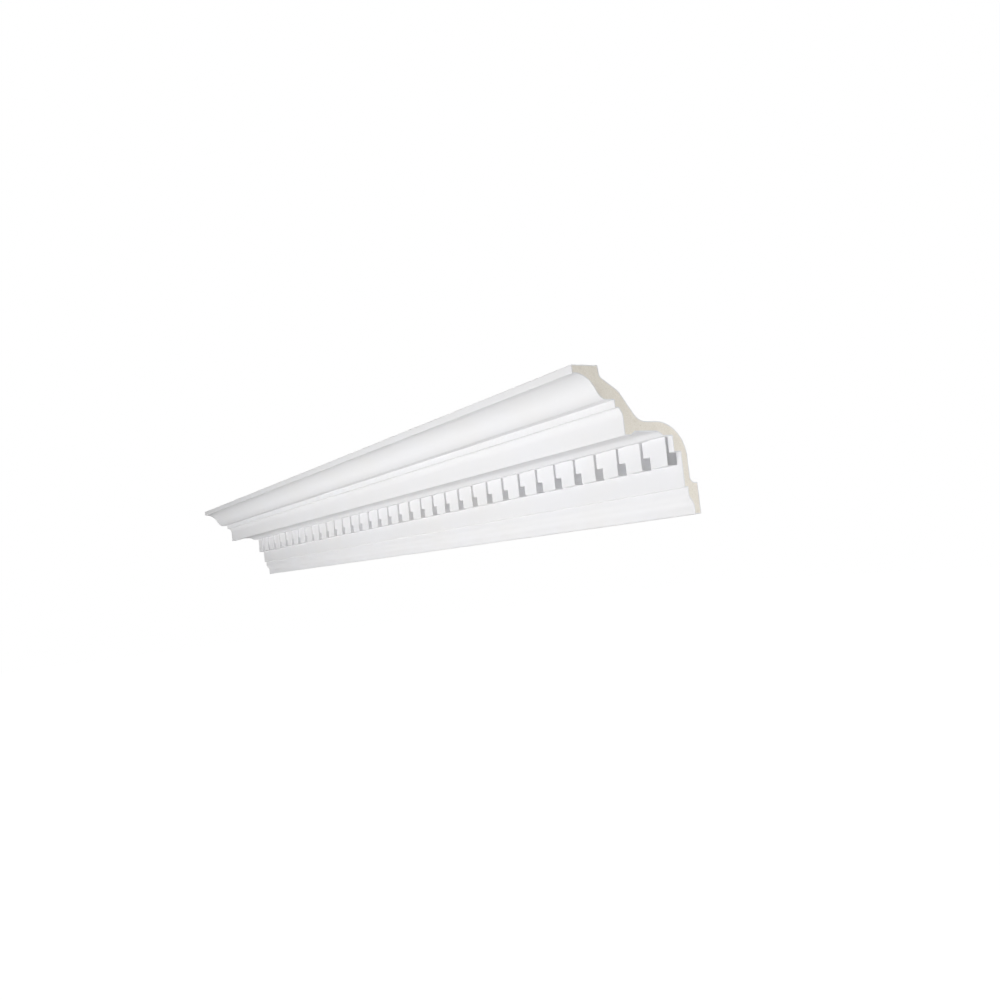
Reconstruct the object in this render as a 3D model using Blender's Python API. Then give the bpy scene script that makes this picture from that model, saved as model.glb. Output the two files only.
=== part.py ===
"""A straight length of dentil cornice moulding, cast in one piece in rigid foam.

It closes the corner between a wall and a ceiling. Metres, +Z up. X runs along the length, the wall is the
plane Y = 0 and the room lies towards -Y. The origin is the middle of the face that is fixed to the wall.
The section is drawn from the ceiling down, with y = 0 on the wall and z = 0 on the ceiling. Slopes are
in degrees below the horizontal, walking from the front edge towards the wall.
"""

import math

import bmesh
import bpy

# The whole length
LENGTH = 1.3125
PROJECTION = 0.140
HEIGHT = 0.145
WALL_CONTACT = 0.0313
CEILING_CONTACT = 0.0306

# Top edge and the cyma recta below it, hollow above and round below
TOP_FASCIA_HEIGHT = 0.0082
TOP_FASCIA_UNDERSIDE = 0.0058
CYMA_HOLLOW_RADIUS = 0.028
CYMA_ROUND_RADIUS = 0.022
CYMA_START_SLOPE = 12
CYMA_MIDDLE_SLOPE = 64
CYMA_END_SLOPE = 31
CYMA_UNDERSIDE = 0.0124

# Small fillet, the hollow under it and the flat face of the corona
FILLET_HEIGHT = 0.0074
FILLET_UNDERSIDE = 0.0040
CORONA_HOLLOW_RADIUS = 0.013
CORONA_HOLLOW_START_SLOPE = 42
CORONA_HOLLOW_END_SLOPE = 88
CORONA_FACE_HEIGHT = 0.0172

# Drip left along the corona's lower edge, in front of its hollowed underside
DRIP_WIDTH = 0.0080
DRIP_SIDE_DEPTH = 0.0050
DRIP_HEIGHT = 0.0035

# Bed mould between the corona's underside and the dentils
BED_HOLLOW_RADIUS = 0.0145
BED_START_SLOPE = 3
BED_END_SLOPE = 46

# Dentils, and the shorter bridges that fill the top of the gaps between them
DENTIL_PITCH = 0.0375
DENTIL_WIDTH = 0.0245
DENTIL_HEIGHT = 0.0284
DENTIL_PROJECTION = 0.0119
DENTIL_SETBACK = 0.0088
DENTIL_ROOT = 0.003
BRIDGE_HEIGHT = 0.0159
BRIDGE_PROJECTION = 0.0087
END_TO_FIRST_DENTIL = 0.0072

# Frieze and the foot below it, which ends in a cyma reversa and a thin lip
FRIEZE_STEP = 0.0038
FOOT_BAND_HEIGHT = 0.0055
FOOT_CYMA_RADIUS = 0.0109
FOOT_CYMA_MIDDLE_SLOPE = 48
LIP_HEIGHT = 0.0067
LIP_THICKNESS = 0.0082

# Hollow back
NOSE_DEPTH = 0.0105
NOSE_SPLAY = 0.001
NOSE_FILLET = 0.005
SHOULDER_BEHIND_FILLET = 0.0063
SHOULDER_ABOVE_FILLET = 0.0086
SHOULDER_RADIUS = 0.020
CORONA_THICKNESS = 0.0190
CORONA_BACK_FILLET = 0.018
SOFFIT_THICKNESS = 0.0099
FRIEZE_THICKNESS = 0.0083
BACK_SWEEP_RADIUS = 0.036
FOOT_FILLET = 0.006

# Degrees of turn between two points of a curve, and the most of a side that its two fillets take
ARC_STEP = 6
FILLET_SHARE = 0.98
PLUMB = 90

WALL_CONTACT_MIDDLE = -HEIGHT + WALL_CONTACT / 2


class Outline:
    """A line drawn member by member, as the (y, z) points of the section."""

    def __init__(self, y, z):
        self.points = [(y, z)]

    def to(self, y=None, z=None):
        last_y, last_z = self.points[-1]
        self.points.append((last_y if y is None else y, last_z if z is None else z))

    def by(self, y=0.0, z=0.0):
        last_y, last_z = self.points[-1]
        self.points.append((last_y + y, last_z + z))

    def arc(self, radius, start_slope, end_slope):
        """Runs on along a circle: a hollow if the slope steepens and a round if it flattens out."""
        first_y, first_z = self.points[-1]
        side = 1 if end_slope > start_slope else -1
        steps = math.ceil(abs(end_slope - start_slope) / ARC_STEP)
        start = math.radians(start_slope)
        for step in range(1, steps + 1):
            slope = start + math.radians(end_slope - start_slope) * step / steps
            y = first_y + side * radius * (math.sin(slope) - math.sin(start))
            z = first_z + side * radius * (math.cos(slope) - math.cos(start))
            self.points.append((y, z))


def foot_cyma_size():
    """Depth and height of the cyma reversa, which is two equal arcs."""
    slope = math.radians(FOOT_CYMA_MIDDLE_SLOPE)
    return 2 * FOOT_CYMA_RADIUS * (1 - math.sin(slope)), 2 * FOOT_CYMA_RADIUS * math.cos(slope)


def frieze_face():
    return -(LIP_THICKNESS + foot_cyma_size()[0] + FRIEZE_STEP)


def bed_mould_size():
    """Depth and height of the hollow above the dentils."""
    start, end = math.radians(BED_START_SLOPE), math.radians(BED_END_SLOPE)
    depth = BED_HOLLOW_RADIUS * (math.sin(end) - math.sin(start))
    return depth, BED_HOLLOW_RADIUS * (math.cos(start) - math.cos(end))


def upper_front():
    """From the front edge on the ceiling down to the corona's lower edge."""
    line = Outline(-PROJECTION, 0)
    line.by(z=-TOP_FASCIA_HEIGHT)
    line.by(y=TOP_FASCIA_UNDERSIDE)
    line.arc(CYMA_HOLLOW_RADIUS, CYMA_START_SLOPE, CYMA_MIDDLE_SLOPE)
    line.arc(CYMA_ROUND_RADIUS, CYMA_MIDDLE_SLOPE, CYMA_END_SLOPE)
    line.by(y=CYMA_UNDERSIDE)
    fillet_corner = line.points[-1]
    line.by(z=-FILLET_HEIGHT)
    line.by(y=FILLET_UNDERSIDE)
    line.arc(CORONA_HOLLOW_RADIUS, CORONA_HOLLOW_START_SLOPE, CORONA_HOLLOW_END_SLOPE)
    line.by(z=-CORONA_FACE_HEIGHT)
    return line, fillet_corner


def soffit():
    """Height of the corona's underside behind its drip."""
    return upper_front()[0].points[-1][1] + DRIP_HEIGHT


def dentil_top():
    return soffit() - bed_mould_size()[1]


def front():
    """The whole face that shows, from the ceiling to the wall, cut through a bridge."""
    line, _ = upper_front()
    face = frieze_face()
    bed_depth, _ = bed_mould_size()
    line.by(y=DRIP_WIDTH)
    line.by(y=DRIP_SIDE_DEPTH, z=DRIP_HEIGHT)
    line.to(y=face - DENTIL_PROJECTION - DENTIL_SETBACK - bed_depth)
    line.arc(BED_HOLLOW_RADIUS, BED_START_SLOPE, BED_END_SLOPE)
    line.to(y=face - BRIDGE_PROJECTION)
    line.by(z=-BRIDGE_HEIGHT)
    line.to(y=face)
    line.to(z=-HEIGHT + LIP_HEIGHT + foot_cyma_size()[1] + FOOT_BAND_HEIGHT)
    line.by(y=FRIEZE_STEP)
    line.by(z=-FOOT_BAND_HEIGHT)
    line.arc(FOOT_CYMA_RADIUS, PLUMB, FOOT_CYMA_MIDDLE_SLOPE)
    line.arc(FOOT_CYMA_RADIUS, FOOT_CYMA_MIDDLE_SLOPE, PLUMB)
    line.to(z=-HEIGHT)
    line.to(y=0)
    return line.points


def rounded_line(corners):
    """Points of a line through (point, radius) corners, each rounded as far as its two sides have room."""
    points = [point for point, _ in corners]
    sides = [(end[0] - start[0], end[1] - start[1]) for start, end in zip(points, points[1:])]
    headings = [math.atan2(rise, run) for run, rise in sides]
    turns = [0] + [after - before for before, after in zip(headings, headings[1:])] + [0]
    reaches = [radius * math.tan(abs(turn) / 2) for (_, radius), turn in zip(corners, turns)]
    for index, side in enumerate(sides):
        wanted = reaches[index] + reaches[index + 1]
        room = min(1, FILLET_SHARE * math.hypot(*side) / wanted)
        reaches[index] *= room
        reaches[index + 1] *= room
    line = [points[0]]
    for point, heading, turn, reach in zip(points[1:-1], headings, turns[1:-1], reaches[1:-1]):
        radius = reach / math.tan(turn / 2)
        start_y = point[0] - reach * math.cos(heading)
        start_z = point[1] - reach * math.sin(heading)
        steps = math.ceil(abs(math.degrees(turn)) / ARC_STEP)
        for step in range(steps + 1):
            now = heading + turn * step / steps
            y = start_y + radius * (math.sin(now) - math.sin(heading))
            z = start_z + radius * (math.cos(heading) - math.cos(now))
            line.append((y, z))
    return line + [points[-1]]


def back():
    """The hollow back, from the inner edge on the ceiling down to the top of the wall face."""
    line, fillet_corner = upper_front()
    corona_face = line.points[-1][0]
    inner_edge = -PROJECTION + CEILING_CONTACT
    shelf = soffit() + SOFFIT_THICKNESS
    frieze_back = frieze_face() + FRIEZE_THICKNESS
    wall_face_top = -HEIGHT + WALL_CONTACT
    shoulder = (fillet_corner[0] + SHOULDER_BEHIND_FILLET, fillet_corner[1] + SHOULDER_ABOVE_FILLET)
    return rounded_line([
        ((inner_edge, 0), 0),
        ((inner_edge + NOSE_SPLAY, -NOSE_DEPTH), NOSE_FILLET),
        (shoulder, SHOULDER_RADIUS),
        ((corona_face + CORONA_THICKNESS, shelf), CORONA_BACK_FILLET),
        ((frieze_back, shelf), BACK_SWEEP_RADIUS),
        ((frieze_back, wall_face_top), FOOT_FILLET),
        ((0, wall_face_top), 0),
    ])


def placed(y, z):
    """A point of the section, moved to the part's own origin."""
    return y, z - WALL_CONTACT_MIDDLE


def extrude_along(mesh, outline, left, right):
    """Adds a closed bar of this section to the mesh, from left to right along X."""
    corners = [mesh.verts.new((left, *placed(y, z))) for y, z in outline]
    end_face = mesh.faces.new(corners)
    extruded = bmesh.ops.extrude_face_region(mesh, geom=[end_face])
    moved = [item for item in extruded["geom"] if isinstance(item, bmesh.types.BMVert)]
    bmesh.ops.translate(mesh, verts=moved, vec=(right - left, 0, 0))


def body_mesh():
    """Everything but the dentils: the section through a bridge, along the whole length."""
    mesh = bmesh.new()
    extrude_along(mesh, front() + list(reversed(back())), -LENGTH / 2, LENGTH / 2)
    bmesh.ops.recalc_face_normals(mesh, faces=mesh.faces)
    return mesh


def dentil_spans():
    """Where each dentil starts and ends along X, clipped where the length is cut."""
    right = LENGTH / 2 - END_TO_FIRST_DENTIL
    while right > -LENGTH / 2:
        yield max(right - DENTIL_WIDTH, -LENGTH / 2), right
        right -= DENTIL_PITCH


def dentil_section():
    """One dentil, rooted in the frieze and the bed mould and cut off behind to stay inside the body."""
    face, top = frieze_face(), dentil_top()
    near, low = face - DENTIL_PROJECTION, top - DENTIL_HEIGHT
    return [
        (near, top + DENTIL_ROOT),
        (near, low),
        (face + DENTIL_ROOT, low),
        (face + DENTIL_ROOT, top - BRIDGE_HEIGHT),
        (face - BRIDGE_PROJECTION, top + DENTIL_ROOT),
    ]


def dentil_row_mesh():
    mesh = bmesh.new()
    for left, right in dentil_spans():
        extrude_along(mesh, dentil_section(), left, right)
    bmesh.ops.recalc_face_normals(mesh, faces=mesh.faces)
    return mesh


def add_object(name, mesh):
    data = bpy.data.meshes.new(name)
    mesh.to_mesh(data)
    mesh.free()
    result = bpy.data.objects.new(name, data)
    bpy.context.scene.collection.objects.link(result)
    return result


def primed_foam():
    """Matt white factory primer over rigid foam."""
    material = bpy.data.materials.new("primed_foam")
    material.use_nodes = True
    shader = material.node_tree.nodes["Principled BSDF"]
    shader.inputs["Base Color"].default_value = (0.86, 0.86, 0.88, 1)
    shader.inputs["Roughness"].default_value = 0.6
    shader.inputs["Metallic"].default_value = 0
    return material


def make_cornice_length():
    cornice = add_object("cornice_length", body_mesh())
    dentils = add_object("dentil_blocks", dentil_row_mesh())
    dentils.hide_render = True
    dentils.display_type = "WIRE"
    join = cornice.modifiers.new("dentils", "BOOLEAN")
    join.operation = "UNION"
    join.object = dentils
    cornice.data.materials.append(primed_foam())
    cornice.data.shade_smooth()
    cornice.data.set_sharp_from_angle(angle=math.radians(20))


def main():
    for old in list(bpy.data.objects):
        bpy.data.objects.remove(old)
    make_cornice_length()


main()
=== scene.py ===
import math

import bmesh
import bpy
import numpy as np
from mathutils import Matrix, Vector, noise
from mathutils.geometry import delaunay_2d_cdt


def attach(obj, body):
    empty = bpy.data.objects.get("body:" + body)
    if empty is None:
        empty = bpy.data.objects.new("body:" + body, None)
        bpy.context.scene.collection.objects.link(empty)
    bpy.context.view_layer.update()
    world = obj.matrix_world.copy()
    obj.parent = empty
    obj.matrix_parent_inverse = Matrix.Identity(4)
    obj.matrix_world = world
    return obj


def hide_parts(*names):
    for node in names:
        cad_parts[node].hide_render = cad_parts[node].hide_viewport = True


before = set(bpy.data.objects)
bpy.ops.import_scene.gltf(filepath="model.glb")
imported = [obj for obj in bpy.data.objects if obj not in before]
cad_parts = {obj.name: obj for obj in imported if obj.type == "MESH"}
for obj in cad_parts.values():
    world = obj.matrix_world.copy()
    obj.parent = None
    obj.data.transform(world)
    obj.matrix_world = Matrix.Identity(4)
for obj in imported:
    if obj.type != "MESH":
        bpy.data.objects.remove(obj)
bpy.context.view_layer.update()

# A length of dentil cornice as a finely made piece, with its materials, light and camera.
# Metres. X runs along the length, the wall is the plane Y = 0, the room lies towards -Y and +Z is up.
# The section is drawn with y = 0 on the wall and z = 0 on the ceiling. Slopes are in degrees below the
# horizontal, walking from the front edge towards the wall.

# The whole length
LENGTH = 1.3125
PROJECTION = 0.140
HEIGHT = 0.145
WALL_CONTACT = 0.0313
CEILING_CONTACT = 0.0306
RIGHT_END = LENGTH / 2
LEFT_END = -LENGTH / 2
WALL_CONTACT_MIDDLE = -HEIGHT + WALL_CONTACT / 2
WALL_PLANE = 0.0
CEILING_PLANE = -WALL_CONTACT_MIDDLE

# Top edge, cyma recta, small fillet, hollow and corona
TOP_FASCIA_HEIGHT = 0.0082
TOP_FASCIA_UNDERSIDE = 0.0058
CYMA_HOLLOW_RADIUS = 0.028
CYMA_ROUND_RADIUS = 0.022
CYMA_SLOPES = (12, 64, 31)
CYMA_UNDERSIDE = 0.0124
FILLET_HEIGHT = 0.0074
FILLET_UNDERSIDE = 0.0040
CORONA_HOLLOW_RADIUS = 0.013
CORONA_HOLLOW_SLOPES = (42, 88)
CORONA_FACE_HEIGHT = 0.0172

# Drip left along the corona's lower edge, in front of its hollowed underside
DRIP_WIDTH = 0.0080
DRIP_SIDE_DEPTH = 0.0050
DRIP_HEIGHT = 0.0035

# Bed mould, dentils and the bridges between them
BED_HOLLOW_RADIUS = 0.0145
BED_SLOPES = (3, 46)
DENTIL_PITCH = 0.0375
DENTIL_WIDTH = 0.0245
DENTIL_HEIGHT = 0.0284
DENTIL_PROJECTION = 0.0119
DENTIL_SETBACK = 0.0088
DENTIL_ROOT = 0.003
BRIDGE_HEIGHT = 0.0159
BRIDGE_PROJECTION = 0.0087
END_TO_FIRST_DENTIL = 0.0072

# Frieze and foot
FRIEZE_STEP = 0.0038
FOOT_BAND_HEIGHT = 0.0055
FOOT_CYMA_RADIUS = 0.0109
FOOT_CYMA_MIDDLE_SLOPE = 48
LIP_HEIGHT = 0.0067
LIP_THICKNESS = 0.0082
PLUMB = 90

# Hollow back, and the most of a side that its two fillets take
NOSE_DEPTH = 0.0105
NOSE_SPLAY = 0.001
NOSE_FILLET = 0.005
SHOULDER_BEHIND_FILLET = 0.0063
SHOULDER_ABOVE_FILLET = 0.0086
SHOULDER_RADIUS = 0.020
CORONA_THICKNESS = 0.0190
CORONA_BACK_FILLET = 0.018
SOFFIT_THICKNESS = 0.0099
FRIEZE_THICKNESS = 0.0083
BACK_SWEEP_RADIUS = 0.036
FOOT_FILLET = 0.006
FILLET_SHARE = 0.98

# Fineness of the mesh: degrees between points of a curve, and the longest straight step
ARC_STEP = 3
LONGEST_STEP = 0.005
RING_SPACING = DENTIL_PITCH / 3

# Cast edges are never quite sharp: their radii, the least turn in degrees that is rounded, how finely, and
# the most of a side that one of them takes
ARRIS_RADIUS = 0.0008
INNER_CORNER_RADIUS = 0.0004
ARRIS_TURN = 18
ARRIS_STEPS = 4
ARRIS_SHARE = 0.4
ROUND_PROFILE = 0.5

# How near a point counts as lying on a face, and how near two points count as one
NEAR = 1e-5
BISECT_TOLERANCE = 1e-7
TRIANGULATION_TOLERANCE = 1e-9

# Which material a face has: the coat, the moulded skin or the cut foam
FRONT, BACK, CUT = 0, 1, 2


class Outline:
    """A line drawn member by member, as the (y, z) points of the section."""

    def __init__(self, y, z):
        self.points = [(y, z)]

    def to(self, y=None, z=None):
        last_y, last_z = self.points[-1]
        self.points.append((last_y if y is None else y, last_z if z is None else z))

    def by(self, y=0.0, z=0.0):
        last_y, last_z = self.points[-1]
        self.points.append((last_y + y, last_z + z))

    def arc(self, radius, start_slope, end_slope):
        """Runs on along a circle: a hollow if the slope steepens and a round if it flattens out."""
        first_y, first_z = self.points[-1]
        side = 1 if end_slope > start_slope else -1
        steps = math.ceil(abs(end_slope - start_slope) / ARC_STEP)
        start = math.radians(start_slope)
        for step in range(1, steps + 1):
            slope = start + math.radians(end_slope - start_slope) * step / steps
            y = first_y + side * radius * (math.sin(slope) - math.sin(start))
            z = first_z + side * radius * (math.cos(slope) - math.cos(start))
            self.points.append((y, z))


def foot_cyma_size():
    """Depth and height of the cyma reversa, which is two equal arcs."""
    slope = math.radians(FOOT_CYMA_MIDDLE_SLOPE)
    return 2 * FOOT_CYMA_RADIUS * (1 - math.sin(slope)), 2 * FOOT_CYMA_RADIUS * math.cos(slope)


def frieze_face():
    return -(LIP_THICKNESS + foot_cyma_size()[0] + FRIEZE_STEP)


def bed_mould_size():
    start, end = (math.radians(slope) for slope in BED_SLOPES)
    depth = BED_HOLLOW_RADIUS * (math.sin(end) - math.sin(start))
    return depth, BED_HOLLOW_RADIUS * (math.cos(start) - math.cos(end))


def upper_front():
    """From the front edge on the ceiling down to the corona's lower edge."""
    line = Outline(-PROJECTION, 0)
    line.by(z=-TOP_FASCIA_HEIGHT)
    line.by(y=TOP_FASCIA_UNDERSIDE)
    start, middle, end = CYMA_SLOPES
    line.arc(CYMA_HOLLOW_RADIUS, start, middle)
    line.arc(CYMA_ROUND_RADIUS, middle, end)
    line.by(y=CYMA_UNDERSIDE)
    fillet_corner = line.points[-1]
    line.by(z=-FILLET_HEIGHT)
    line.by(y=FILLET_UNDERSIDE)
    line.arc(CORONA_HOLLOW_RADIUS, *CORONA_HOLLOW_SLOPES)
    line.by(z=-CORONA_FACE_HEIGHT)
    return line, fillet_corner


def soffit():
    """Height of the corona's underside behind its drip."""
    return upper_front()[0].points[-1][1] + DRIP_HEIGHT


def dentil_top():
    return soffit() - bed_mould_size()[1]


def front():
    """The whole face that shows, from the ceiling to the wall, cut through a bridge."""
    line, _ = upper_front()
    face = frieze_face()
    line.by(y=DRIP_WIDTH)
    line.by(y=DRIP_SIDE_DEPTH, z=DRIP_HEIGHT)
    line.to(y=face - DENTIL_PROJECTION - DENTIL_SETBACK - bed_mould_size()[0])
    line.arc(BED_HOLLOW_RADIUS, *BED_SLOPES)
    line.to(y=face - BRIDGE_PROJECTION)
    line.by(z=-BRIDGE_HEIGHT)
    line.to(y=face)
    line.to(z=-HEIGHT + LIP_HEIGHT + foot_cyma_size()[1] + FOOT_BAND_HEIGHT)
    line.by(y=FRIEZE_STEP)
    line.by(z=-FOOT_BAND_HEIGHT)
    line.arc(FOOT_CYMA_RADIUS, PLUMB, FOOT_CYMA_MIDDLE_SLOPE)
    line.arc(FOOT_CYMA_RADIUS, FOOT_CYMA_MIDDLE_SLOPE, PLUMB)
    line.to(z=-HEIGHT)
    line.to(y=0)
    return line.points


def rounded_line(corners):
    """Points of a line through (point, radius) corners, each rounded as far as its two sides have room."""
    points = [point for point, _ in corners]
    sides = [(end[0] - start[0], end[1] - start[1]) for start, end in zip(points, points[1:])]
    headings = [math.atan2(rise, run) for run, rise in sides]
    turns = [0] + [after - before for before, after in zip(headings, headings[1:])] + [0]
    reaches = [radius * math.tan(abs(turn) / 2) for (_, radius), turn in zip(corners, turns)]
    for index, side in enumerate(sides):
        wanted = reaches[index] + reaches[index + 1]
        room = min(1, FILLET_SHARE * math.hypot(*side) / wanted)
        reaches[index] *= room
        reaches[index + 1] *= room
    line = [points[0]]
    for point, heading, turn, reach in zip(points[1:-1], headings, turns[1:-1], reaches[1:-1]):
        radius = reach / math.tan(turn / 2)
        start_y = point[0] - reach * math.cos(heading)
        start_z = point[1] - reach * math.sin(heading)
        steps = math.ceil(abs(math.degrees(turn)) / ARC_STEP)
        for step in range(steps + 1):
            now = heading + turn * step / steps
            y = start_y + radius * (math.sin(now) - math.sin(heading))
            z = start_z + radius * (math.cos(heading) - math.cos(now))
            line.append((y, z))
    return line + [points[-1]]


def back():
    """The hollow back, from the inner edge on the ceiling down to the top of the wall face."""
    line, fillet_corner = upper_front()
    corona_face = line.points[-1][0]
    inner_edge = -PROJECTION + CEILING_CONTACT
    shelf = soffit() + SOFFIT_THICKNESS
    frieze_back = frieze_face() + FRIEZE_THICKNESS
    wall_face_top = -HEIGHT + WALL_CONTACT
    shoulder = (fillet_corner[0] + SHOULDER_BEHIND_FILLET, fillet_corner[1] + SHOULDER_ABOVE_FILLET)
    return rounded_line([
        ((inner_edge, 0), 0),
        ((inner_edge + NOSE_SPLAY, -NOSE_DEPTH), NOSE_FILLET),
        (shoulder, SHOULDER_RADIUS),
        ((corona_face + CORONA_THICKNESS, shelf), CORONA_BACK_FILLET),
        ((frieze_back, shelf), BACK_SWEEP_RADIUS),
        ((frieze_back, wall_face_top), FOOT_FILLET),
        ((0, wall_face_top), 0),
    ])


def softened(outline, kinds):
    """A closed outline with small arcs at its sharp corners, and the kind of side after each point."""
    points = [Vector(point) for point in outline]
    result = []
    for index, point in enumerate(points):
        before, after = points[index - 1], points[(index + 1) % len(points)]
        arriving, leaving = point - before, after - point
        turn = math.atan2(arriving.cross(leaving), arriving.dot(leaving))
        if abs(math.degrees(turn)) < ARRIS_TURN:
            result.append((point, kinds[index]))
            continue
        radius = ARRIS_RADIUS if turn > 0 else INNER_CORNER_RADIUS
        room = ARRIS_SHARE * min(arriving.length, leaving.length)
        reach = min(radius * math.tan(abs(turn) / 2), room)
        radius = reach / math.tan(abs(turn) / 2)
        heading = math.atan2(arriving.y, arriving.x)
        start = point - arriving.normalized() * reach
        side = 1 if turn > 0 else -1
        for step in range(ARRIS_STEPS + 1):
            now = heading + turn * step / ARRIS_STEPS
            offset = Vector((math.sin(now) - math.sin(heading), math.cos(heading) - math.cos(now)))
            kind = kinds[index] if step >= ARRIS_STEPS / 2 else kinds[index - 1]
            result.append((start + offset * radius * side, kind))
    return result


def stepped(outline):
    """The same outline with its long straight sides cut into short steps."""
    result = []
    for index, (point, kind) in enumerate(outline):
        following = outline[(index + 1) % len(outline)][0]
        count = max(1, math.ceil((following - point).length / LONGEST_STEP))
        result += [(point.lerp(following, step / count), kind) for step in range(count)]
    return result


def fine_section():
    """The closed section, anticlockwise, as (point, kind of the side that follows) pairs."""
    front_line, back_line = front(), back()
    outline = front_line + list(reversed(back_line))
    kinds = [FRONT] * (len(front_line) - 1) + [BACK] * (len(back_line) + 1)
    return stepped(softened(outline, kinds))


def placed(y, z):
    """A point of the section, moved to the part's own origin."""
    return y, z - WALL_CONTACT_MIDDLE


def swept(outline, left, right):
    """A closed bar of this section from left to right."""
    mesh = bmesh.new()
    ends = [[mesh.verts.new((x, *placed(*point))) for point, _ in outline] for x in (left, right)]
    for index, (_, kind) in enumerate(outline):
        following = (index + 1) % len(outline)
        face = mesh.faces.new((ends[0][index], ends[1][index], ends[1][following], ends[0][following]))
        face.material_index = kind
    for end in ends:
        mesh.faces.new(end).material_index = CUT
    bmesh.ops.recalc_face_normals(mesh, faces=mesh.faces)
    return mesh


def dentil_spans():
    """Where each dentil starts and ends along X."""
    right = RIGHT_END - END_TO_FIRST_DENTIL
    while right > LEFT_END:
        yield max(right - DENTIL_WIDTH, LEFT_END), right
        right -= DENTIL_PITCH


def dentil_section():
    face, top = frieze_face(), dentil_top()
    near, low = face - DENTIL_PROJECTION, top - DENTIL_HEIGHT
    return [
        (near, top + DENTIL_ROOT),
        (near, low),
        (face + DENTIL_ROOT, low),
        (face + DENTIL_ROOT, top - BRIDGE_HEIGHT),
        (face - BRIDGE_PROJECTION, top + DENTIL_ROOT),
    ]


def dentil_row():
    """All dentils, with the edges that show rounded off."""
    near = frieze_face() - DENTIL_PROJECTION
    low = placed(0, dentil_top() - DENTIL_HEIGHT)[1]
    row = bmesh.new()
    for left, right in dentil_spans():
        corners = [row.verts.new((left, *placed(*point))) for point in dentil_section()]
        extruded = bmesh.ops.extrude_face_region(row, geom=[row.faces.new(corners)])
        moved = [item for item in extruded["geom"] if isinstance(item, bmesh.types.BMVert)]
        bmesh.ops.translate(row, verts=moved, vec=(right - left, 0, 0))
    bmesh.ops.recalc_face_normals(row, faces=row.faces)

    def shows(edge):
        upright = all(abs(vert.co.y - near) < NEAR for vert in edge.verts)
        below = all(abs(vert.co.z - low) < NEAR for vert in edge.verts)
        rooted = all(vert.co.y > frieze_face() for vert in edge.verts)
        along_top = all(vert.co.z > low + DENTIL_HEIGHT for vert in edge.verts)
        return (upright or below) and not rooted and not along_top

    bmesh.ops.bevel(row, geom=[edge for edge in row.edges if shows(edge)], offset=ARRIS_RADIUS,
                    segments=ARRIS_STEPS, profile=ROUND_PROFILE, affect="EDGES")
    for face in row.faces:
        face.material_index = FRONT
    return row


def add_object(name, mesh, materials=()):
    data = bpy.data.meshes.new(name)
    mesh.to_mesh(data)
    mesh.free()
    for material in materials:
        data.materials.append(material)
    result = bpy.data.objects.new(name, data)
    bpy.context.scene.collection.objects.link(result)
    return result


def applied(target):
    """Bakes the object's modifiers into its mesh."""
    graph = bpy.context.evaluated_depsgraph_get()
    data = bpy.data.meshes.new_from_object(target.evaluated_get(graph))
    target.modifiers.clear()
    target.data = data


def joined(body, row, materials):
    """The body with the dentils grown together with it."""
    result = add_object("cornice_moulding", body, materials)
    dentils = add_object("dentil_blocks", row, materials)
    union = result.modifiers.new("dentils", "BOOLEAN")
    union.operation = "UNION"
    union.solver = "EXACT"
    union.object = dentils
    applied(result)
    bpy.data.objects.remove(dentils)
    return result


def cut_into_rings(mesh):
    """Adds a ring of edges at regular places along X, so that the cast surface can be a little uneven."""
    count = round(LENGTH / RING_SPACING)
    for step in range(1, count):
        x = LEFT_END + LENGTH * step / count
        bmesh.ops.bisect_plane(mesh, geom=mesh.verts[:] + mesh.edges[:] + mesh.faces[:],
                               dist=BISECT_TOLERANCE, plane_co=(x, 0, 0), plane_no=(1, 0, 0))


# The cast surface: how far it strays, how many times in a metre, and where that ends at the cuts and at
# the flat faces that meet the wall and the ceiling
FRONT_WAVE = 0.00016
BACK_WAVE = 0.00055
FRONT_WAVE_SCALE = 16.0
BACK_WAVE_SCALE = 24.0
WAVE_FADE = 0.02
CONTACT_CLEARANCE = 0.0001


def uneven(mesh):
    """Moves the mesh's points a little along their normals, as a cast surface strays from the true one."""
    mesh.normal_update()
    for vert in mesh.verts:
        x, y, z = vert.co
        in_contact = min(CEILING_PLANE - z, WALL_PLANE - y) < CONTACT_CLEARANCE
        if in_contact or RIGHT_END - abs(x) < NEAR:
            continue
        behind = all(face.material_index == BACK for face in vert.link_faces)
        scale = BACK_WAVE_SCALE if behind else FRONT_WAVE_SCALE
        wave = BACK_WAVE if behind else FRONT_WAVE
        fade = min(1.0, (RIGHT_END - abs(x)) / WAVE_FADE)
        vert.co += vert.normal * (noise.noise(vert.co * scale) * wave * fade)


# Open cells of the foam on a cut end: how many, how big, how much smaller ones are the rule, and how far
# they keep from each other
CELLS_PER_END = 520
CELL_TRIES = 60 * CELLS_PER_END
CELL_RADIUS = (0.00016, 0.00062)
CELL_SMALLNESS = 3.5
CELL_SPACING = 1.5
OUTLINE_CLEARANCE = 0.000616

# Each cell is a ring of points at the cut, a ledge ring inside it and a bottom, as shares of its radius
CELL_SIDES = 7
CELL_RAGGEDNESS = (0.86, 1.08)
LEDGE = 0.62
BOTTOM_DEPTH = 0.95

# The rest of a cut end: rows of points along the outline, then an uneven grid that stays off the cells
RIM_STEPS = (0.00045, 0.0011)
RIM_SPACING = 0.0004
RIM_TOLERANCE = 0.12
CUT_GRID = 0.0014
GRID_JITTER = 0.3
GRID_CLEARANCE = 0.4
CELL_CLEARANCE = 1.2
CELL_MARGIN = 0.0001

# Seed of the right end's random draws, and how far on the left end's is
CUT_SEED = 7
SEED_STEP = 10


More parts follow.
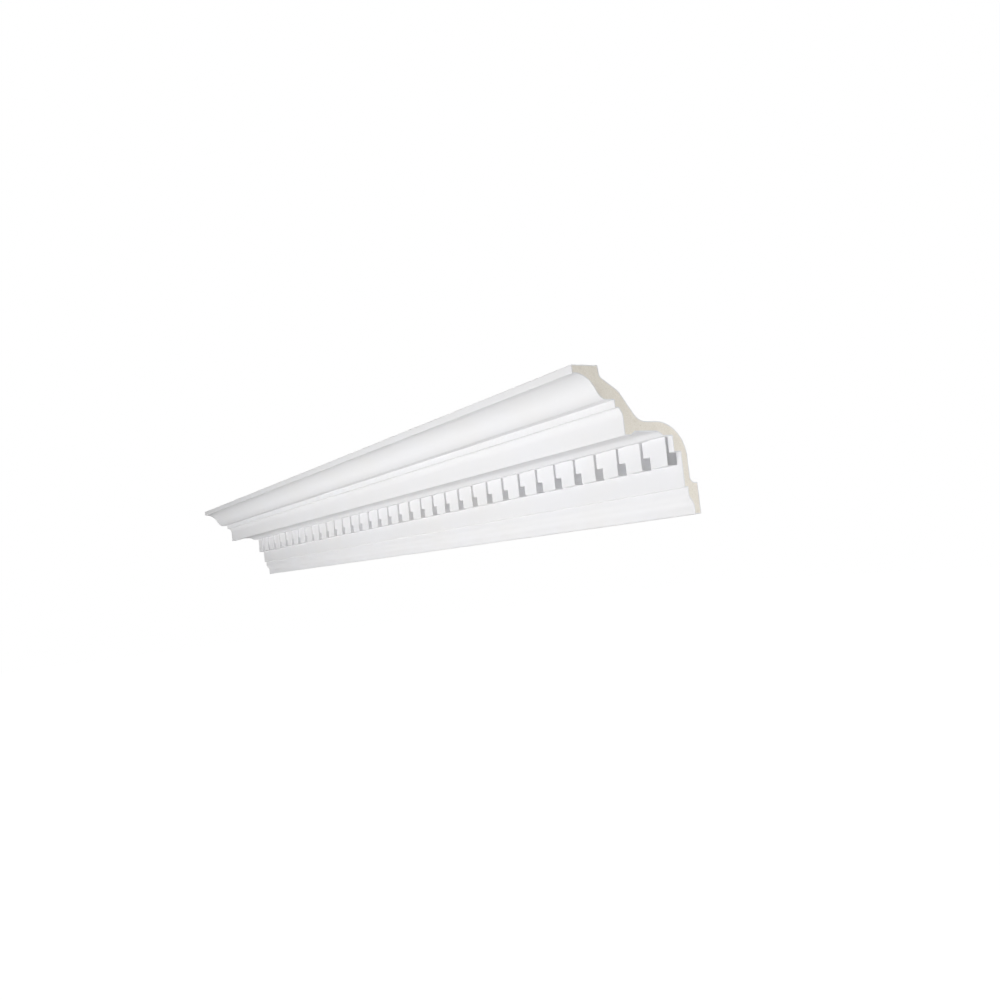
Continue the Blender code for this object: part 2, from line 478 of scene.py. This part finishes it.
def distances(points, outline):
    """How far each point lies from the outline, with the sign telling inside (positive) from outside."""
    start = outline
    side = np.roll(outline, -1, axis=0) - start
    reach = points[:, None, :] - start[None]
    share = np.clip((reach * side).sum(2) / (side * side).sum(1), 0, 1)
    gap = np.hypot(*np.moveaxis(reach - share[..., None] * side, 2, 0)).min(1)
    above = points[:, None, 1] < start[None, :, 1]
    crossing = above != (points[:, None, 1] < np.roll(start[:, 1], -1)[None])
    with np.errstate(divide="ignore", invalid="ignore"):
        x_there = start[:, 0] + (points[:, None, 1] - start[None, :, 1]) / side[:, 1] * side[:, 0]
    inside = (crossing & (points[:, None, 0] < x_there)).sum(1) % 2 == 1
    return np.where(inside, gap, -gap)


def rim_points(outline, inset):
    """Points just inside the outline, at an even distance from it."""
    ahead, behind = np.roll(outline, -1, axis=0), np.roll(outline, 1, axis=0)
    along = ahead - behind
    normal = np.stack([-along[:, 1], along[:, 0]], axis=1)
    normal /= np.hypot(*normal.T)[:, None]
    candidates = outline + normal * inset
    return candidates[np.abs(distances(candidates, outline) - inset) < RIM_TOLERANCE * inset]


def thinned(points, spacing):
    """Leaves out points that lie closer than the spacing to one kept before."""
    kept = []
    cells = {}
    for point in points:
        cell = (int(point[0] // spacing), int(point[1] // spacing))
        near = [other for dy in (-1, 0, 1) for dz in (-1, 0, 1)
                for other in cells.get((cell[0] + dy, cell[1] + dz), ())]
        if all(math.hypot(point[0] - other[0], point[1] - other[1]) >= spacing for other in near):
            cells.setdefault(cell, []).append(point)
            kept.append(point)
    return np.array(kept)


def foam_cells(outline, seed):
    """Random open cells as (y, z, radius), clear of each other and of the outline."""
    random = np.random.default_rng(seed)
    low, high = outline.min(0), outline.max(0)
    places = random.uniform(low, high, (CELL_TRIES, 2))
    small, large = CELL_RADIUS
    radii = small + (large - small) * random.random(len(places)) ** CELL_SMALLNESS
    room = distances(places, outline) > radii + OUTLINE_CLEARANCE
    cells = []
    for (y, z), radius in zip(places[room], radii[room]):
        if all(math.hypot(y - other_y, z - other_z) > CELL_SPACING * (radius + other_radius)
               for other_y, other_z, other_radius in cells):
            cells.append((y, z, radius))
        if len(cells) == CELLS_PER_END:
            break
    return cells


def cut_face_points(outline, seed):
    """Points inside a cut end with their depths below the cut: open cells, an even rim and a fine grid."""
    random = np.random.default_rng(seed + 1)
    cells = foam_cells(outline, seed)
    points, depths = [], []
    for y, z, radius in cells:
        start = random.uniform(0, math.tau)
        for share, depth in ((1.0, 0.0), (LEDGE, LEDGE)):
            for side in range(CELL_SIDES):
                angle = start + math.tau * side / CELL_SIDES
                stretch = radius * share * random.uniform(*CELL_RAGGEDNESS)
                points.append((y + stretch * math.cos(angle), z + stretch * math.sin(angle)))
                depths.append(radius * depth)
        points.append((y, z))
        depths.append(radius * BOTTOM_DEPTH)
    low, high = outline.min(0), outline.max(0)
    grid = np.stack(np.meshgrid(*(np.arange(a, b, CUT_GRID) for a, b in zip(low, high))), 2).reshape(-1, 2)
    grid += random.uniform(-GRID_JITTER, GRID_JITTER, grid.shape) * CUT_GRID
    grid = grid[distances(grid, outline) > RIM_STEPS[-1] + GRID_CLEARANCE * CUT_GRID]
    centres, radii = np.array(cells)[:, :2], np.array(cells)[:, 2]
    rims = np.concatenate([thinned(rim_points(outline, inset), RIM_SPACING) for inset in RIM_STEPS])
    flat = np.concatenate([rims, grid])
    from_cells = np.hypot(*np.moveaxis(flat[:, None] - centres[None], 2, 0))
    flat = flat[(from_cells > CELL_CLEARANCE * radii + CELL_MARGIN).all(1)]
    return np.concatenate([np.array(points), flat]), np.concatenate([depths, np.zeros(len(flat))])


def open_cut_ends(mesh, seed):
    """Gives each cut end a fine face with open foam cells, kept to the outline that it already has."""
    for end, inward in ((RIGHT_END, -1), (LEFT_END, 1)):
        caps = [face for face in mesh.faces if face.material_index == CUT and
                all(abs(vert.co.x - end) < NEAR for vert in face.verts)]
        border = {edge for face in caps for edge in face.edges
                  if sum(other in caps for other in edge.link_faces) == 1}
        bmesh.ops.delete(mesh, geom=caps, context="FACES_ONLY")
        loop = ordered_loop(border)
        outline = np.array([(vert.co.y, vert.co.z) for vert in loop])
        area = np.cross(outline, np.roll(outline, -1, axis=0)).sum()
        if area < 0:
            loop.reverse()
            outline = outline[::-1]
        points, depths = cut_face_points(outline, seed)
        seed += SEED_STEP
        coordinates = [Vector(point) for point in np.concatenate([outline, points])]
        ring = list(range(len(loop)))
        result = delaunay_2d_cdt(coordinates, [], [ring], 1, TRIANGULATION_TOLERANCE)
        places, _, triangles, origins = result[:4]
        # The outline's own points came first in the coordinates, and keep their place in the mesh
        verts = []
        for place, origin in zip(places, origins):
            first = min(origin)
            if first < len(loop):
                verts.append(loop[first])
            else:
                verts.append(mesh.verts.new((end + inward * depths[first - len(loop)], *place)))
        for triangle in triangles:
            corners = [verts[index] for index in triangle]
            face = mesh.faces.new(corners if inward < 0 else corners[::-1])
            face.material_index = CUT
            face.smooth = True


def ordered_loop(border):
    """The points of a closed border in order."""
    first = min(border, key=lambda edge: edge.index)
    start, now = first.verts
    loop, used = [start], {first}
    while now != start:
        loop.append(now)
        following = next(edge for edge in now.link_edges if edge in border and edge not in used)
        used.add(following)
        now = following.other_vert(now)
    return loop


# How near a point lies to a cut, or to the wall's or ceiling's plane, to be marked as part of that face,
# and the distance from the coat that stands for far away
CUT_REACH = 0.002
CONTACT_REACH = 0.001
FAR_FROM_COAT = 1.0


def mark_skin(target):
    """Stores how deep each point of a cut lies under the skin, and how near each point is to the coat."""
    section = np.array([placed(*point) for point, _ in fine_section()])
    data = target.data
    count = len(data.vertices)
    places = np.empty(count * 3)
    data.vertices.foreach_get("co", places)
    places = places.reshape(-1, 3)
    depth = np.zeros(count)
    at_end = RIGHT_END - np.abs(places[:, 0]) < CUT_REACH
    depth[at_end] = np.maximum(distances(places[at_end][:, 1:], section), 0)
    data.attributes.new("skin_depth", "FLOAT", "POINT").data.foreach_set("value", depth)
    from_coat = np.full(count, FAR_FROM_COAT)
    on_ceiling = CEILING_PLANE - places[:, 2] < CONTACT_REACH
    from_coat[on_ceiling] = places[on_ceiling, 1] + PROJECTION
    on_wall = WALL_PLANE - places[:, 1] < CONTACT_REACH
    from_coat[on_wall] = places[on_wall, 2] - (CEILING_PLANE - HEIGHT)
    data.attributes.new("from_coat", "FLOAT", "POINT").data.foreach_set("value", from_coat)


class Shading:
    """Builds one material's nodes. Sizes are in metres on the object."""

    def __init__(self, name):
        self.material = bpy.data.materials.new(name)
        self.material.use_nodes = True
        self.tree = self.material.node_tree
        self.shader = self.tree.nodes["Principled BSDF"]
        self.place = self.tree.nodes.new("ShaderNodeTexCoord").outputs["Object"]

    def link(self, value, socket):
        if isinstance(value, bpy.types.NodeSocket):
            self.tree.links.new(value, socket)
        else:
            socket.default_value = value

    def noise(self, size, detail=2.0, roughness=0.5, stretch=None):
        node = self.tree.nodes.new("ShaderNodeTexNoise")
        self.link(self.stretched(stretch), node.inputs["Vector"])
        node.inputs["Scale"].default_value = 1 / size
        node.inputs["Detail"].default_value = detail
        node.inputs["Roughness"].default_value = roughness
        return node.outputs["Fac"]

    def cells(self, size):
        node = self.tree.nodes.new("ShaderNodeTexVoronoi")
        self.link(self.place, node.inputs["Vector"])
        node.inputs["Scale"].default_value = 1 / size
        return node.outputs["Distance"]

    def stretched(self, factors):
        if factors is None:
            return self.place
        node = self.tree.nodes.new("ShaderNodeVectorMath")
        node.operation = "MULTIPLY"
        self.link(self.place, node.inputs[0])
        node.inputs[1].default_value = factors
        return node.outputs[0]

    def attribute(self, name):
        node = self.tree.nodes.new("ShaderNodeAttribute")
        node.attribute_name = name
        return node.outputs["Fac"]

    def spread(self, value, low, high, to_low=0.0, to_high=1.0, smooth=False):
        node = self.tree.nodes.new("ShaderNodeMapRange")
        node.interpolation_type = "SMOOTHSTEP" if smooth else "LINEAR"
        for socket, given in zip(node.inputs, (value, low, high, to_low, to_high)):
            self.link(given, socket)
        return node.outputs["Result"]

    def combine(self, operation, first, second):
        node = self.tree.nodes.new("ShaderNodeMath")
        node.operation = operation
        self.link(first, node.inputs[0])
        self.link(second, node.inputs[1])
        return node.outputs[0]

    def blend(self, share, first, second):
        node = self.tree.nodes.new("ShaderNodeMix")
        node.data_type = "RGBA"
        self.link(share, node.inputs["Factor"])
        colour_sockets = [socket for socket in node.inputs if socket.type == "RGBA"]
        self.link(first, colour_sockets[0])
        self.link(second, colour_sockets[1])
        return next(socket for socket in node.outputs if socket.type == "RGBA")

    def relief(self, height, depth, under=None):
        node = self.tree.nodes.new("ShaderNodeBump")
        self.link(height, node.inputs["Height"])
        node.inputs["Distance"].default_value = depth
        if under is not None:
            self.tree.links.new(under, node.inputs["Normal"])
        return node.outputs["Normal"]

    def finish(self, colour, roughness, normal, specular):
        self.link(colour, self.shader.inputs["Base Color"])
        self.link(roughness, self.shader.inputs["Roughness"])
        self.tree.links.new(normal, self.shader.inputs["Normal"])
        self.shader.inputs["Specular IOR Level"].default_value = specular
        return self.material


PRIMER = (0.785, 0.785, 0.80, 1)
PRIMER_WARM = (0.78, 0.775, 0.775, 1)
FOAM = (0.81, 0.765, 0.675, 1)
FOAM_PALE = (0.88, 0.84, 0.765, 1)
# Painted shade, drawn into the pits of the cut cells and of the burst bubbles
FOAM_PIT_SHADE = (0.60, 0.535, 0.43, 1)
SKIN = (0.67, 0.59, 0.46, 1)
SKIN_PALE = (0.79, 0.725, 0.61, 1)
SKIN_FLOW = (0.55, 0.465, 0.34, 1)


def primer_coat():
    """Matt white factory primer: sprayed, with a fine tooth and hardly any drift in colour."""
    make = Shading("white_primer")
    drift = make.noise(0.09, detail=3)
    colour = make.blend(make.spread(drift, 0.35, 0.7), PRIMER, PRIMER_WARM)
    peel = make.noise(0.0018, detail=2)
    tooth = make.noise(0.00035, detail=1)
    normal = make.relief(peel, 0.00003)
    normal = make.relief(tooth, 0.000012, under=normal)
    roughness = make.spread(make.noise(0.012, detail=3), 0.3, 0.7, 0.50, 0.62)
    return make.finish(colour, roughness, normal, specular=0.4)


def cut_foam():
    """Sawn rigid foam: cream, full of fine cells with painted shade in their pits, denser and paler close
    under the skin.
    """
    make = Shading("cut_foam")
    depth = make.attribute("skin_depth")
    cells = make.cells(0.0007)
    speckle = make.noise(0.0011, detail=3, roughness=0.7)
    marks = make.noise(0.0009, detail=2, stretch=(1, 0.06, 1))
    colour = make.blend(make.spread(speckle, 0.38, 0.66), FOAM, FOAM_PALE)
    # Painted shade: the centre of each cell is drawn darker, as shade in a pit.
    pore_shade = make.spread(cells, 0.0, 0.30, 0.75, 0.0)
    pore_shade = make.combine("MULTIPLY", pore_shade, make.spread(speckle, 0.35, 0.6, 1.0, 0.1))
    colour = make.blend(pore_shade, colour, FOAM_PIT_SHADE)
    colour = make.blend(make.spread(depth, 0.0005, 0.0012, 1.0, 0.0), colour, PRIMER)
    height = make.combine("ADD", make.combine("MULTIPLY", cells, 0.7), make.combine("MULTIPLY", marks, 0.5))
    normal = make.relief(height, 0.00018)
    roughness = make.spread(speckle, 0.3, 0.7, 0.82, 0.95)
    return make.finish(colour, roughness, normal, specular=0.2)


def moulded_skin():
    """The back as it left the mould: a cream skin with flow marks and burst bubbles with painted shade in
    their pits, and spray by the coat.
    """
    make = Shading("moulded_skin")
    mottle = make.noise(0.022, detail=5, roughness=0.62)
    flow = make.noise(0.011, detail=4, roughness=0.6, stretch=(0.10, 1, 1))
    grain = make.noise(0.0022, detail=3, roughness=0.6)
    colour = make.blend(make.spread(mottle, 0.36, 0.64), SKIN, SKIN_PALE)
    colour = make.blend(make.spread(flow, 0.52, 0.70, 0.0, 0.55), colour, SKIN_FLOW)
    colour = make.blend(make.spread(grain, 0.35, 0.70, 0.0, 0.25), colour, SKIN_PALE)
    bubbles = make.cells(0.010)
    bubble_size = make.spread(mottle, 0.42, 0.62, 0.02, 0.20)
    burst = make.spread(make.combine("SUBTRACT", bubble_size, bubbles), 0.0, 0.04)
    # Painted shade: the pits of the burst bubbles are drawn darker.
    colour = make.blend(make.combine("MULTIPLY", burst, 0.6), colour, FOAM_PIT_SHADE)
    spray = make.noise(0.0035, detail=4, roughness=0.65)
    edge = make.spread(make.attribute("from_coat"), 0.0005, 0.016, 0.95, 0.0, smooth=True)
    share = make.spread(make.combine("SUBTRACT", make.combine("ADD", edge, spray), 0.72), 0.0, 0.25)
    colour = make.blend(share, colour, PRIMER)
    pressed = make.combine("MULTIPLY", mottle, 0.8)
    pressed = make.combine("ADD", pressed, make.combine("MULTIPLY", flow, 0.5))
    normal = make.relief(pressed, 0.0012)
    normal = make.relief(make.combine("SUBTRACT", 1.0, burst), 0.0006, under=normal)
    normal = make.relief(grain, 0.00012, under=normal)
    roughness = make.spread(flow, 0.3, 0.7, 0.38, 0.62)
    return make.finish(colour, roughness, normal, specular=0.4)


# The turn in degrees above which an edge is shaded sharp
CREASE = 40


def make_moulding():
    materials = (primer_coat(), moulded_skin(), cut_foam())
    moulding = joined(swept(fine_section(), LEFT_END, RIGHT_END), dentil_row(), materials)
    mesh = bmesh.new()
    mesh.from_mesh(moulding.data)
    cut_into_rings(mesh)
    uneven(mesh)
    open_cut_ends(mesh, CUT_SEED)
    for face in mesh.faces:
        face.smooth = True
    bmesh.ops.triangulate(mesh, faces=[face for face in mesh.faces if len(face.verts) > 4])
    mesh.to_mesh(moulding.data)
    mesh.free()
    moulding.data.set_sharp_from_angle(angle=math.radians(CREASE))
    mark_skin(moulding)
    weighted = moulding.modifiers.new("even_faces", "WEIGHTED_NORMAL")
    weighted.keep_sharp = True
    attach(moulding, "root")
    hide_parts("cornice_length")


FLOOR_LEVEL = -2.4
FLOOR_SIZE = 80.0
FLOOR_COLOUR = (0.9, 0.9, 0.9, 1)
FLOOR_ROUGHNESS = 0.9
FLOOR_GLOW = 1.0
WHITE = (1, 1, 1, 1)


def make_floor():
    """A plain white floor far below, too far to take a shadow."""
    material = bpy.data.materials.new("white_floor")
    material.use_nodes = True
    shader = material.node_tree.nodes["Principled BSDF"]
    shader.inputs["Base Color"].default_value = FLOOR_COLOUR
    shader.inputs["Roughness"].default_value = FLOOR_ROUGHNESS
    shader.inputs["Emission Color"].default_value = WHITE
    shader.inputs["Emission Strength"].default_value = FLOOR_GLOW
    mesh = bmesh.new()
    bmesh.ops.create_grid(mesh, x_segments=1, y_segments=1, size=FLOOR_SIZE / 2)
    floor = add_object("floor", mesh, [material])
    floor.location.z = FLOOR_LEVEL
    floor.visible_diffuse = False
    floor.visible_glossy = False


# Lamps: name, the point they aim at, where they stand as seen from it (degrees round from the room side
# towards the right end, and degrees up), distance, side of the square lamp and power
NEAR_END = (0.35, -0.07, 0.055)
RIGHT_CUT = (0.656, -0.07, 0.06)
LEFT_CUT = (-0.656, -0.07, 0.06)
LAMPS = (
    ("key", NEAR_END, 4, -28, 2.2, 1.0, 45.5),
    ("low_fill", NEAR_END, -40, -48, 2.2, 0.8, 9.0),
    ("front_fill", NEAR_END, 0, 8, 2.2, 1.2, 3.5),
    ("upper_fill", NEAR_END, 28, 32, 2.2, 1.0, 7.0),
    ("right_cut_light", RIGHT_CUT, 155, 4, 1.3, 0.3, 22.5),
    ("right_low_light", RIGHT_CUT, 112, -28, 1.3, 0.6, 4.0),
    ("left_cut_light", LEFT_CUT, 222, 20, 1.5, 0.6, 11.0),
    ("top_light", (0.0, -0.05, 0.13), 170, 62, 2.0, 1.4, 14.0),
)

# The surroundings look white to the camera and shed next to no light
SURROUNDINGS_SEEN = 1.0
SURROUNDINGS_LIGHT = 0.01


def make_light():
    for name, aim, round_degrees, up_degrees, distance, size, power in LAMPS:
        data = bpy.data.lights.new(name, "AREA")
        data.size = size
        data.energy = power
        lamp = bpy.data.objects.new(name, data)
        about, up = math.radians(round_degrees), math.radians(up_degrees)
        away = Vector((math.sin(about) * math.cos(up), -math.cos(about) * math.cos(up), math.sin(up)))
        lamp.location = Vector(aim) + away * distance
        lamp.rotation_euler = (-away).to_track_quat("-Z", "Y").to_euler()
        lamp.visible_camera = False
        bpy.context.scene.collection.objects.link(lamp)
    world = bpy.data.worlds.new("white_studio")
    bpy.context.scene.world = world
    world.use_nodes = True
    nodes, links = world.node_tree.nodes, world.node_tree.links
    seen = nodes.new("ShaderNodeLightPath").outputs["Is Camera Ray"]
    strength = nodes.new("ShaderNodeMapRange")
    strength.inputs["To Min"].default_value = SURROUNDINGS_LIGHT
    strength.inputs["To Max"].default_value = SURROUNDINGS_SEEN
    links.new(seen, strength.inputs["Value"])
    background = nodes["Background"]
    background.inputs["Color"].default_value = WHITE
    links.new(strength.outputs["Result"], background.inputs["Strength"])


# The camera of the photo, with turn, tilt and roll in degrees
CAMERA_PLACE = (1.3042, -0.6493, -0.0451)
CAMERA_TURN = 30.91
CAMERA_TILT = 4.21
CAMERA_ROLL = -5.75
CAMERA_SENSOR = 36
CAMERA_LENS = 32.66
CAMERA_SHIFT = 0.03
NEAREST_SEEN = 0.01
FARTHEST_SEEN = 100


def make_camera():
    data = bpy.data.cameras.new("camera")
    data.sensor_width = CAMERA_SENSOR
    data.lens = CAMERA_LENS
    data.shift_x = CAMERA_SHIFT
    data.clip_start = NEAREST_SEEN
    data.clip_end = FARTHEST_SEEN
    camera = bpy.data.objects.new("camera", data)
    bpy.context.scene.collection.objects.link(camera)
    camera.matrix_world = (Matrix.Translation(CAMERA_PLACE)
                           @ Matrix.Rotation(math.radians(90 - CAMERA_TURN), 4, "Z")
                           @ Matrix.Rotation(math.radians(90 + CAMERA_TILT), 4, "X")
                           @ Matrix.Rotation(math.radians(CAMERA_ROLL), 4, "Z"))
    bpy.context.scene.camera = camera


make_camera()
make_moulding()
make_floor()
make_light()
bpy.context.scene.view_settings.view_transform = "Standard"
